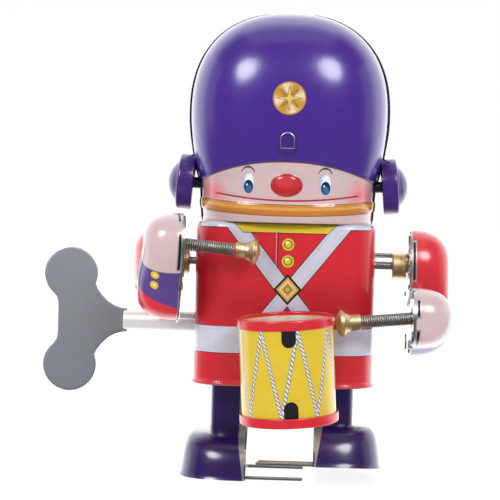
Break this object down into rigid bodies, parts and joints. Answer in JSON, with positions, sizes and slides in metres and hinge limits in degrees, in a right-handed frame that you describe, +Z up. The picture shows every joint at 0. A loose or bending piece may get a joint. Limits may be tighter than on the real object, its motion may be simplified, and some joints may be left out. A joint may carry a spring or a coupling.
{
  "type": "wind-up drumming soldier toy",
  "caption": "Clockwork tin toy: a walking guard in a tall dome hat that beats a drum on its front, with a side winding key.",
  "frame": {"origin": "middle of the whole outline on the surface that the toy stands on", "axes": "+Z up, -Y the toy's front, +X to the right seen from the front, away from the winding key"},
  "size_m": [0.1082, 0.064, 0.1215],
  "materials": {
    "printed_jacket": "gloss lithographed tin",
    "printed_head": "gloss lithographed tin",
    "hat_enamel": "gloss enamel",
    "ear_print": "gloss lithographed tin",
    "drum_print": "gloss lithographed tin",
    "drum_band": "gloss lithographed tin",
    "arm_print": "gloss lithographed tin",
    "leg_print": "gloss lithographed tin",
    "tinplate": "bare tinplate, faint rolling marks",
    "bright_steel": "drawn steel",
    "key_steel": "stamped steel, lightly tumbled",
    "spring_steel": "oiled spring wire",
    "brass": "turned brass, aged"
  },
  "bodies": {
    "casing": {"body_front_shell": "printed_jacket", "body_back_shell": "printed_jacket", "neck_plate": "hat_enamel", "base_plate": "tinplate", "head_front_shell": "printed_head", "head_back_shell": "printed_head", "head_brace": "hat_enamel", "ear_cup_left": "ear_print", "ear_cup_right": "ear_print", "ear_backing_left": "ear_print", "ear_backing_right": "ear_print", "shoulder_axle": "bright_steel", "axle_caps": "bright_steel", "motor_plate_left": "tinplate", "motor_plate_right": "tinplate", "motor_pillars": "bright_steel", "leg_guide_pins": "bright_steel", "mainspring": "spring_steel", "drum_shell": "drum_print", "drum_top": "drum_band", "drum_bottom": "drum_band", "drum_bracket": "tinplate"},
    "key": {"winding_key": "key_steel", "winding_arbor": "bright_steel", "click_leaf": "bright_steel"},
    "great_wheel": {"great_wheel": "brass"},
    "crank": {"crankshaft": "bright_steel", "crank_pinion": "brass", "crank_wheel": "brass", "crank_disc_left": "bright_steel", "crank_disc_right": "bright_steel"},
    "governor": {"governor_arbor": "bright_steel", "escape_wheel": "brass"},
    "verge": {"verge_arbor": "bright_steel", "verge": "bright_steel"},
    "leg_left": {"leg_plate_left": "tinplate", "leg_shell_left": "leg_print", "foot_wire_left": "bright_steel"},
    "leg_right": {"leg_plate_right": "tinplate", "leg_shell_right": "leg_print", "foot_wire_right": "bright_steel"},
    "arm_left": {"arm_plate_left": "tinplate", "arm_shell_left": "arm_print", "arm_bush_left": "brass", "drive_rod_left": "bright_steel", "drumstick_spring_left": "spring_steel", "drumstick_knob_left": "brass"},
    "arm_right": {"arm_plate_right": "tinplate", "arm_shell_right": "arm_print", "arm_bush_right": "brass", "drive_rod_right": "bright_steel", "drumstick_spring_right": "spring_steel", "drumstick_knob_right": "brass"}
  },
  "joints": [
    {"name": "winding_key_turn", "type": "hinge", "parent": "casing", "child": "key", "pos_m": [0.01064, 0.01383, 0.039], "axis": [1, 0, 0], "continuous": true, "deforming": ["mainspring"]},
    {"name": "crank_turn", "type": "hinge", "parent": "casing", "child": "crank", "pos_m": [0.01064, 0.00533, 0.02916], "axis": [1, 0, 0], "range_deg": [0, 180]},
    {"name": "great_wheel_turn", "type": "hinge", "parent": "casing", "child": "great_wheel", "pos_m": [0.01064, 0.01383, 0.039], "axis": [1, 0, 0], "range_deg": [-45, 0]},
    {"name": "governor_turn", "type": "hinge", "parent": "casing", "child": "governor", "pos_m": [0.01064, 0.00013, 0.03124], "axis": [1, 0, 0], "range_deg": [-450, 0]},
    {"name": "verge_rock", "type": "hinge", "parent": "casing", "child": "verge", "pos_m": [0.01064, 0.00013, 0.03684], "axis": [1, 0, 0], "range_deg": [0, 5]},
    {"name": "leg_left_step", "type": "hinge", "parent": "crank", "child": "leg_left", "pos_m": [0.00178, 0.00533, 0.02786], "axis": [1, 0, 0], "range_deg": [-187, 0]},
    {"name": "leg_right_step", "type": "hinge", "parent": "crank", "child": "leg_right", "pos_m": [0.01948, 0.00533, 0.03046], "axis": [1, 0, 0], "range_deg": [-173, 0]},
    {"name": "arm_left_drum", "type": "hinge", "parent": "casing", "child": "arm_left", "pos_m": [-0.01867, 0.01233, 0.0555], "axis": [1, 0, 0], "range_deg": [0, 24]},
    {"name": "arm_right_drum", "type": "hinge", "parent": "casing", "child": "arm_right", "pos_m": [0.04254, 0.01233, 0.0555], "axis": [1, 0, 0], "range_deg": [-43, 0]}
  ],
  "couplings": [
    {"joint": "great_wheel_turn", "follows": "crank_turn", "ratio": -0.2381},
    {"joint": "governor_turn", "follows": "crank_turn", "ratio": -2.5},
    {"joint": "leg_left_step", "follows": "crank_turn", "ratio": -1.0389},
    {"joint": "leg_right_step", "follows": "crank_turn", "ratio": -0.96111},
    {"joint": "arm_left_drum", "follows": "crank_turn", "ratio": 0.13333},
    {"joint": "arm_right_drum", "follows": "crank_turn", "ratio": -0.23889}
  ]
}
